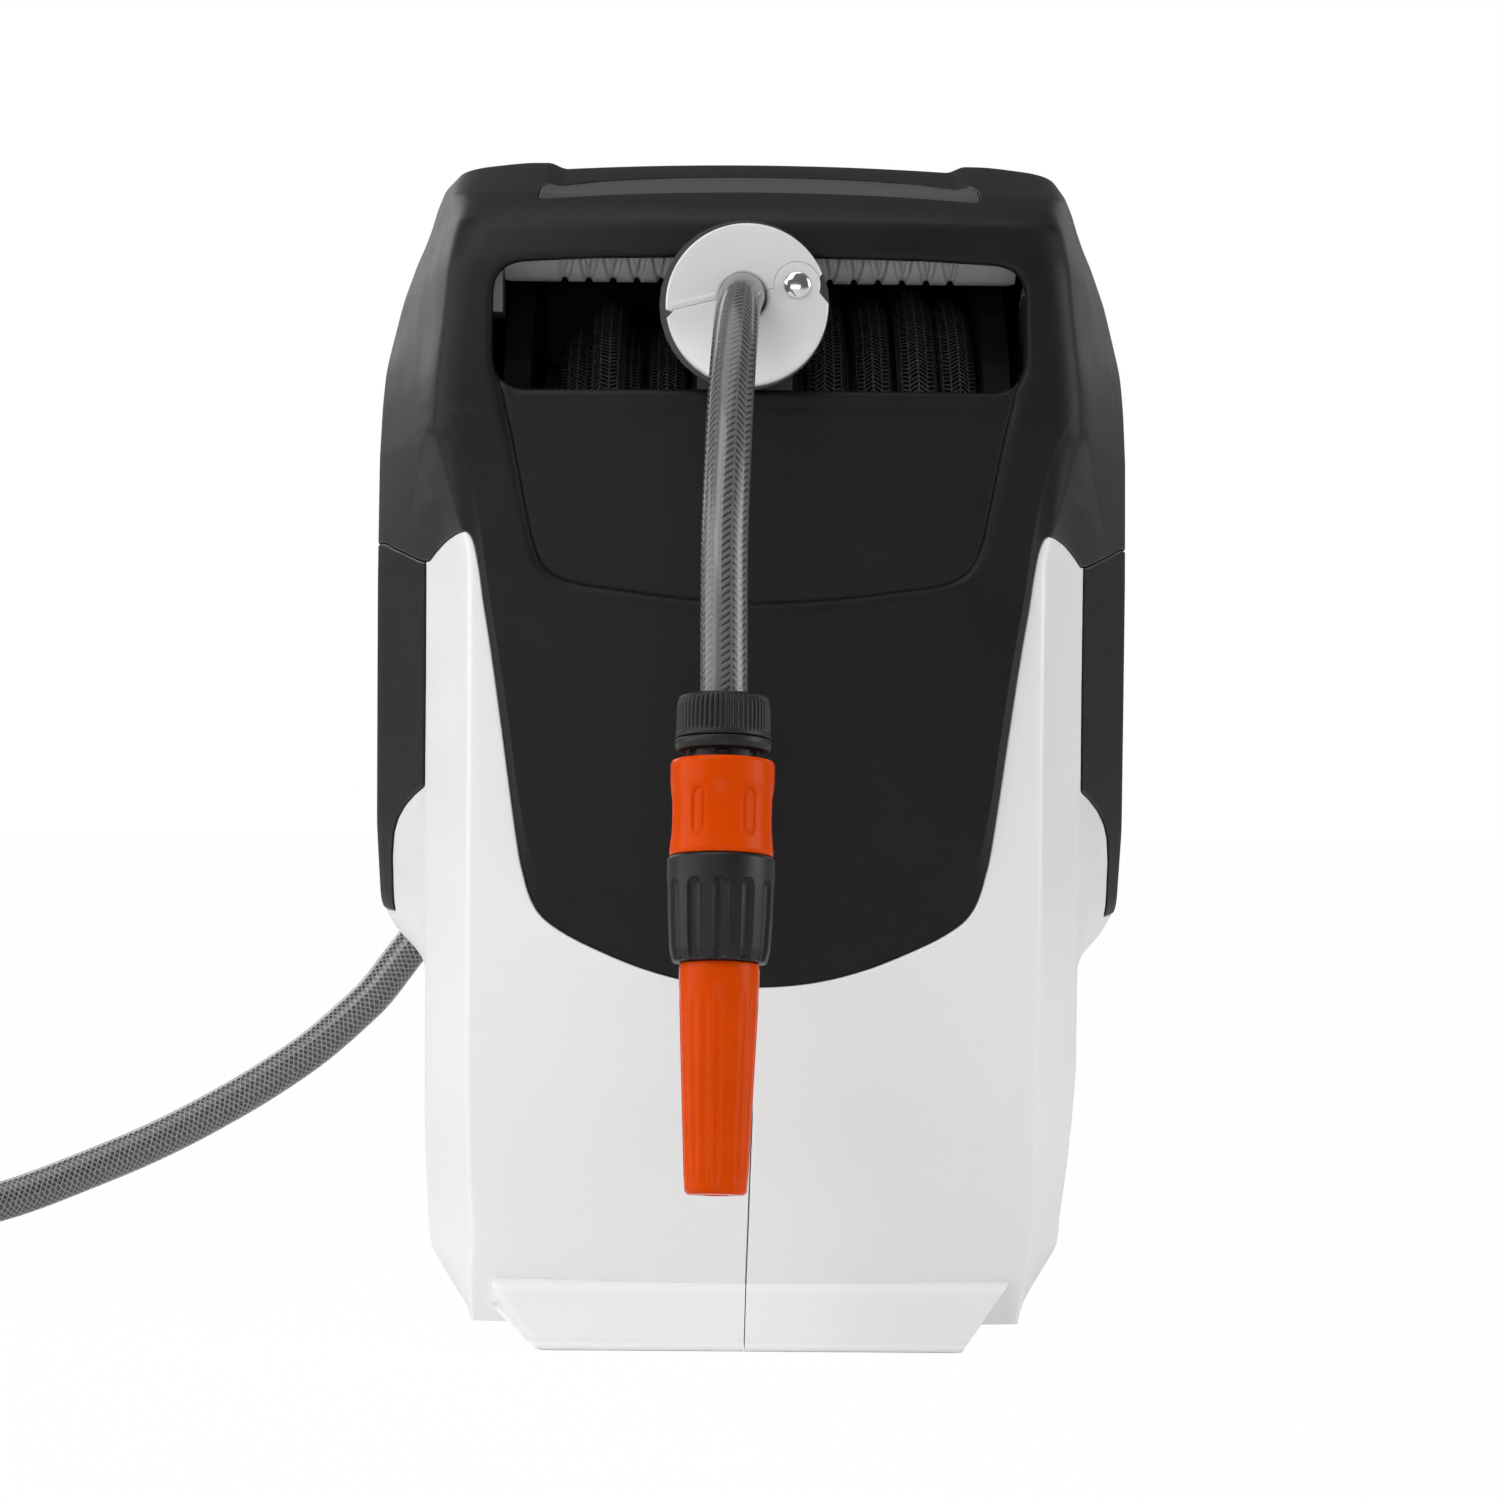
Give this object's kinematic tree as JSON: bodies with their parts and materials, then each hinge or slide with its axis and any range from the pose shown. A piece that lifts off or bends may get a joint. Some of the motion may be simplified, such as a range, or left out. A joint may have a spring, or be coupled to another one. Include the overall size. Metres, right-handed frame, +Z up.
{
  "type": "retractable garden hose reel",
  "caption": "Wall-hung garden hose reel in a closed housing: sprung drum, level-wind carriage in a front slot, hose with spray nozzle, leader hose at the side.",
  "frame": {"origin": "middle of the object's footprint at its base, wall bracket included, free hoses left out", "axes": "+Z up, -Y towards the hose outlet, +X along the drum axis"},
  "size_m": [0.6795, 0.6005, 0.4506],
  "materials": {
    "cover_black": "fine grained matte",
    "label_black": "gloss",
    "shell_grey": "satin",
    "works_black": "satin",
    "fitting_black": "satin",
    "white_plastic": "gloss",
    "orange_plastic": "satin",
    "hose_grey": "clear skin over a braid",
    "steel": "polished",
    "brass": "turned"
  },
  "bodies": {
    "housing": {"left_shell": "shell_grey", "right_shell": "shell_grey", "top_cover": "cover_black", "label_plate": "label_black", "left_side_cover": "cover_black", "right_side_cover": "cover_black", "handle_cup": "cover_black", "carry_handle": "cover_black", "main_shaft": "steel", "left_bearing_plate": "works_black", "right_bearing_plate": "works_black", "screw_bearing_left": "white_plastic", "screw_bearing_right": "white_plastic", "guide_rod": "steel", "idler_axle_a": "steel", "idler_axle_b": "steel", "inlet_swivel": "brass", "inlet_pipe": "works_black", "hose_clamp": "steel", "leader_grommet": "works_black", "pawl_pin": "steel", "case_screw_1": "steel", "case_screw_2": "steel", "case_screw_3": "steel", "pivot_bracket": "steel", "pivot_pin": "steel", "leader_hose": "hose_grey", "leader_coil": "hose_grey", "leader_nut": "fitting_black", "leader_collar": "orange_plastic"},
    "wall_bracket": {"wall_bracket": "steel"},
    "drum": {"drum_core": "works_black", "left_flange": "works_black", "right_flange": "works_black", "drum_gear": "white_plastic", "ratchet_wheel": "steel", "spring_case": "steel", "mainspring": "steel", "drum_feed_pipe": "brass", "hose_winding": "hose_grey"},
    "screw": {"traverse_screw": "white_plastic", "screw_gear": "white_plastic"},
    "idler_a": {"idler_gear_a": "white_plastic"},
    "idler_b": {"idler_gear_b": "white_plastic"},
    "pawl": {"pawl": "steel"},
    "carriage": {"carriage_body": "works_black", "follower_pin": "steel", "outlet_ring": "works_black", "stopper_upper": "white_plastic", "stopper_rivet": "steel", "feed_hose": "hose_grey", "front_hose": "hose_grey", "hose_nut": "fitting_black", "connector_body": "fitting_black", "nozzle_grip": "fitting_black"},
    "guide_roller": {"guide_roller": "white_plastic"},
    "stopper_jaw": {"stopper_lower": "white_plastic"},
    "collar": {"connector_collar": "orange_plastic"},
    "nozzle": {"nozzle_tube": "orange_plastic"}
  },
  "joints": [
    {"name": "drum_spin", "type": "hinge", "parent": "housing", "child": "drum", "pos_m": [0, -0.02625, 0.245], "axis": [1, 0, 0], "range_deg": [0, 1500], "stiffness_Nm_per_rad": 0.05, "springref_deg": -3437.75},
    {"name": "screw_spin", "type": "hinge", "parent": "housing", "child": "screw", "pos_m": [0, -0.15175, 0.4058], "axis": [1, 0, 0], "range_deg": [-2834, 0]},
    {"name": "idler_a_spin", "type": "hinge", "parent": "housing", "child": "idler_a", "pos_m": [0.1065, -0.07055, 0.3018], "axis": [1, 0, 0], "range_deg": [-1343, 0]},
    {"name": "idler_b_spin", "type": "hinge", "parent": "housing", "child": "idler_b", "pos_m": [0.1065, -0.11725, 0.3617], "axis": [1, 0, 0], "range_deg": [0, 1343]},
    {"name": "carriage_traverse", "type": "slide", "parent": "housing", "child": "carriage", "axis": [1, 0, 0], "range_m": [-0.066, 0.072]},
    {"name": "guide_roller_spin", "type": "hinge", "parent": "carriage", "child": "guide_roller", "pos_m": [-0.005, -0.17625, 0.3728], "axis": [1, 0, 0], "continuous": true},
    {"name": "stopper_jaw_swing", "type": "hinge", "parent": "carriage", "child": "stopper_jaw", "pos_m": [0.0134, -0.22245, 0.3896], "axis": [0, -1, 0], "range_deg": [0, 35]},
    {"name": "collar_slide", "type": "slide", "parent": "carriage", "child": "collar", "axis": [0.009, 0.145, 0.9894], "range_m": [0, 0.0025], "stiffness_N_per_m": 600, "springref_m": -0.003},
    {"name": "nozzle_twist", "type": "hinge", "parent": "carriage", "child": "nozzle", "pos_m": [-0.0124, -0.33825, 0.2389], "axis": [-0.009, -0.145, -0.9894], "range_deg": [0, 270]},
    {"name": "pawl_swing", "type": "hinge", "parent": "housing", "child": "pawl", "pos_m": [-0.1005, 0.01975, 0.268], "axis": [1, 0, 0], "range_deg": [-12, 8]},
    {"name": "wall_bracket_swivel", "type": "hinge", "parent": "housing", "child": "wall_bracket", "pos_m": [0, 0.19875, 0.245], "axis": [0, 0, 1], "range_deg": [-85, 85]}
  ],
  "couplings": [
    {"joint": "screw_spin", "follows": "drum_spin", "ratio": -1.8889},
    {"joint": "idler_a_spin", "follows": "drum_spin", "ratio": -0.89474},
    {"joint": "idler_b_spin", "follows": "drum_spin", "ratio": 0.89474},
    {"joint": "carriage_traverse", "follows": "drum_spin", "m_per_rad": 0.0027357}
  ]
}
